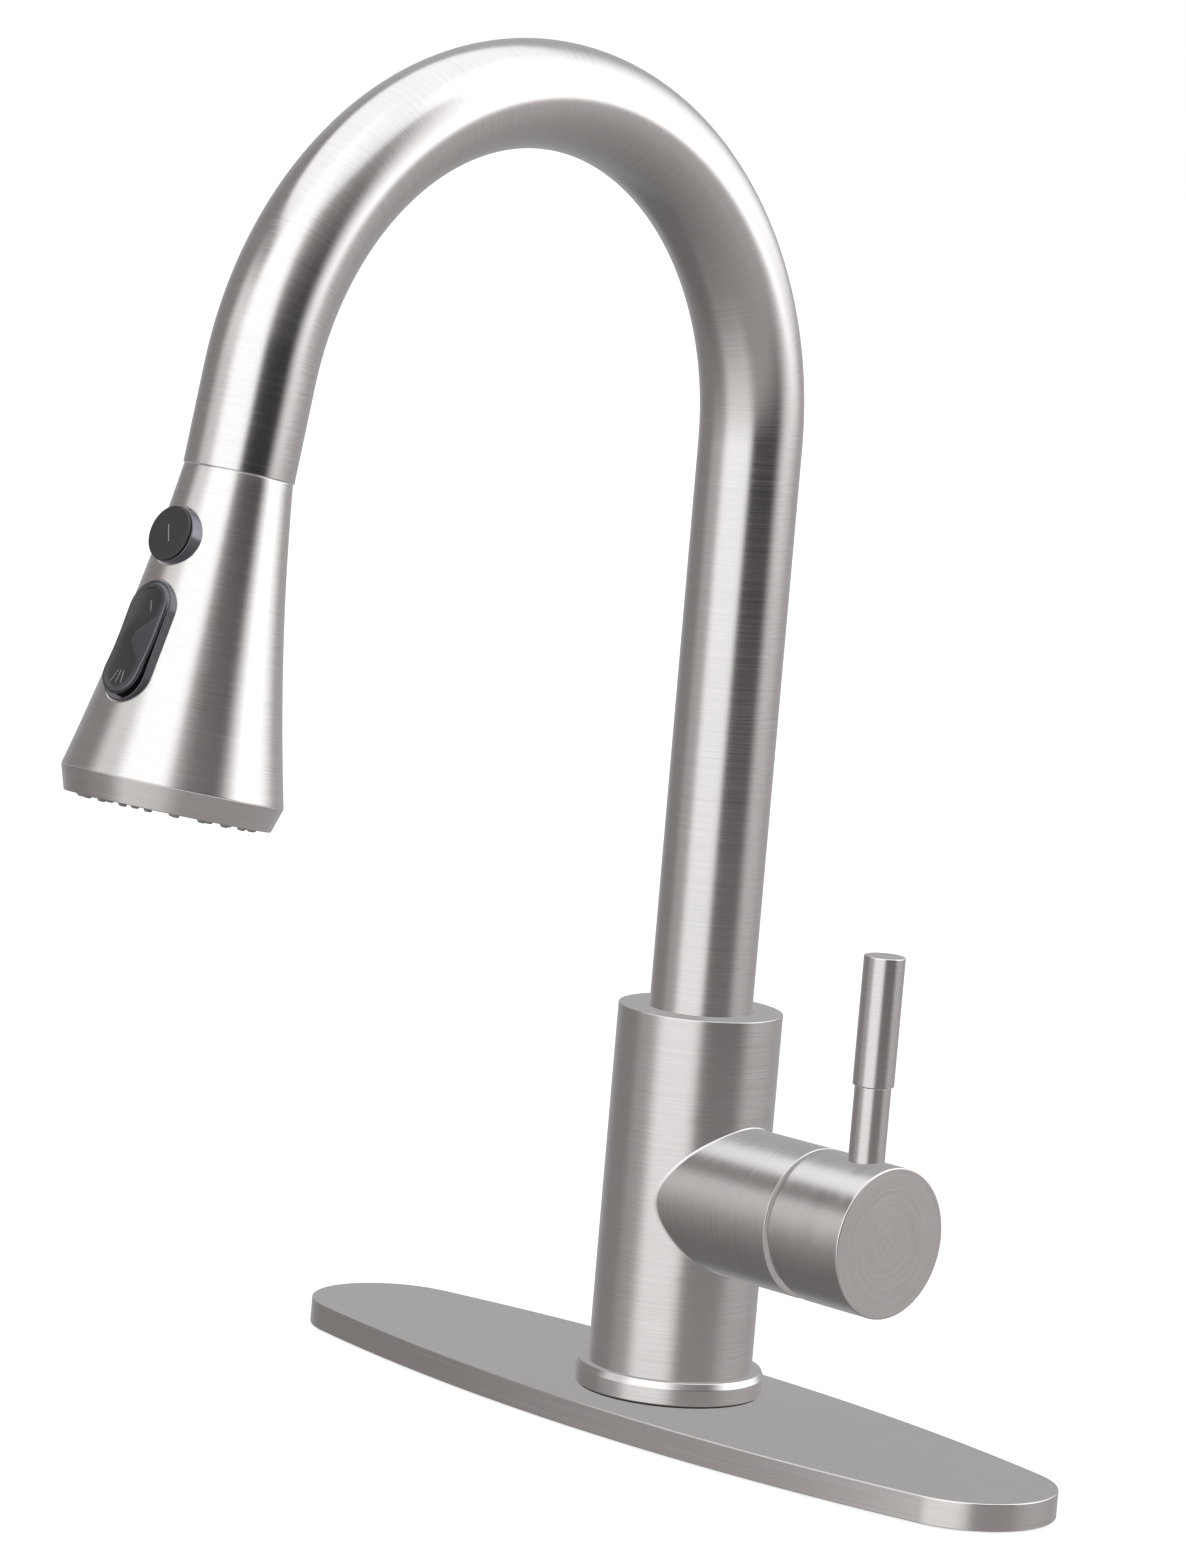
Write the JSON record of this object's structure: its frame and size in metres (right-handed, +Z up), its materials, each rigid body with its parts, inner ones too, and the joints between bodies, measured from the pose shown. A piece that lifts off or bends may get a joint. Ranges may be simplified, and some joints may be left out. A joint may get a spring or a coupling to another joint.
{
  "type": "pull-down kitchen faucet",
  "caption": "Single-handle pull-down kitchen faucet: gooseneck spout, flared spray head with button and rocker, side lever handle, oblong deck plate.",
  "frame": {"origin": "centre of the deck plate's underside, on the deck surface and on the body's axis", "axes": "+Z up along the body and the spout's riser, -Y towards the sink and the spray head, +X towards the handle"},
  "size_m": [0.268, 0.2587, 0.4212],
  "materials": {
    "brushed_metal": "brushed nickel, fine lines round each tube",
    "plain_steel": "plain stainless steel",
    "brass": "machined brass",
    "black_plastic": "satin charcoal moulding",
    "white_plastic": "natural acetal",
    "ceramic": "lapped alumina",
    "rubber": "black rubber",
    "silicone": "dark grey silicone",
    "hose_nylon": "braided grey nylon over a polymer core"
  },
  "bodies": {
    "base": {"deck_plate": "brushed_metal", "deck_plate_carrier": "black_plastic", "deck_gasket": "rubber", "base_ring_seal": "rubber", "base_ring": "brushed_metal", "body_shell": "brushed_metal", "mounting_shank": "brass", "upper_spout_bush": "black_plastic", "lower_spout_bush": "black_plastic", "rubber_washer": "rubber", "steel_washer": "plain_steel", "mounting_nut": "brass", "nut_screw_right": "plain_steel", "nut_screw_left": "plain_steel", "valve_block": "brass", "cartridge_base": "white_plastic", "fixed_disc": "ceramic", "cartridge_housing": "white_plastic", "cartridge_nut": "brass", "cartridge_bonnet": "brushed_metal", "handle_housing": "brushed_metal", "hose_lower_run": "hose_nylon"},
    "mixer": {"cartridge_carrier": "black_plastic", "cartridge_pivot_pin": "plain_steel"},
    "mixing_disc": {"moving_disc": "ceramic"},
    "handle": {"cartridge_stem": "brass", "handle_cap": "brushed_metal", "handle_set_screw": "plain_steel", "lever_stem": "brushed_metal", "lever_grip": "brushed_metal"},
    "spout": {"spout_tube": "brushed_metal", "spout_tail_collar": "brass", "hose_guide": "black_plastic", "dock_bush": "black_plastic", "pull_out_hose": "hose_nylon"},
    "hose_end": {"hose_ferrule": "plain_steel", "hose_ball_stem": "brass"},
    "spray_head": {"swivel_nut": "brass", "hose_washer": "rubber", "check_valve": "white_plastic", "head_waterway": "black_plastic", "spray_head_shell": "brushed_metal", "spray_bezel": "brushed_metal", "spray_face": "black_plastic", "nozzle_mat": "silicone", "aerator_housing": "black_plastic", "aerator_screen": "plain_steel", "rocker_frame": "black_plastic", "rocker_pin": "plain_steel", "pause_spring": "plain_steel"},
    "rocker": {"mode_rocker": "black_plastic"},
    "diverter": {"diverter_spool": "white_plastic"},
    "pause": {"pause_button": "black_plastic", "pause_plunger": "brass"}
  },
  "joints": [
    {"name": "spout_swivel", "type": "hinge", "parent": "base", "child": "spout", "pos_m": [0, 0, 0.1], "axis": [0, 0, 1], "continuous": true},
    {"name": "head_pull", "type": "slide", "parent": "spout", "child": "hose_end", "axis": [0, -0.1754, -0.9845], "range_m": [0, 0.16], "deforming": ["pull_out_hose"]},
    {"name": "head_swivel", "type": "hinge", "parent": "hose_end", "child": "spray_head", "pos_m": [0, -0.18102, 0.2574], "axis": [0, -0.1754, -0.9845], "continuous": true},
    {"name": "mode_rocker_tilt", "type": "hinge", "parent": "spray_head", "child": "rocker", "pos_m": [0, -0.20666, 0.21518], "axis": [1, 0, 0], "range_deg": [0, 7.6]},
    {"name": "diverter_slide", "type": "slide", "parent": "spray_head", "child": "diverter", "axis": [0, 0.1754, 0.9845], "range_m": [0, 0.0012]},
    {"name": "pause_press", "type": "slide", "parent": "spray_head", "child": "pause", "axis": [0, 0.9479, -0.3187], "range_m": [0, 0.0016], "stiffness_N_per_m": 500, "springref_m": -0.003, "deforming": ["pause_spring"]},
    {"name": "handle_turn", "type": "hinge", "parent": "base", "child": "mixer", "pos_m": [0.033, 0, 0.0633], "axis": [1, 0, 0], "range_deg": [-45, 45]},
    {"name": "handle_tilt", "type": "hinge", "parent": "mixer", "child": "handle", "pos_m": [0.033, 0, 0.0633], "axis": [0, 1, 0], "range_deg": [0, 14]},
    {"name": "disc_slide", "type": "slide", "parent": "mixer", "child": "mixing_disc", "axis": [0, 0, 1], "range_m": [0, 0.0023]}
  ],
  "couplings": [
    {"joint": "diverter_slide", "follows": "mode_rocker_tilt", "m_per_rad": 0.00775},
    {"joint": "disc_slide", "follows": "handle_tilt", "m_per_rad": 0.0083}
  ]
}
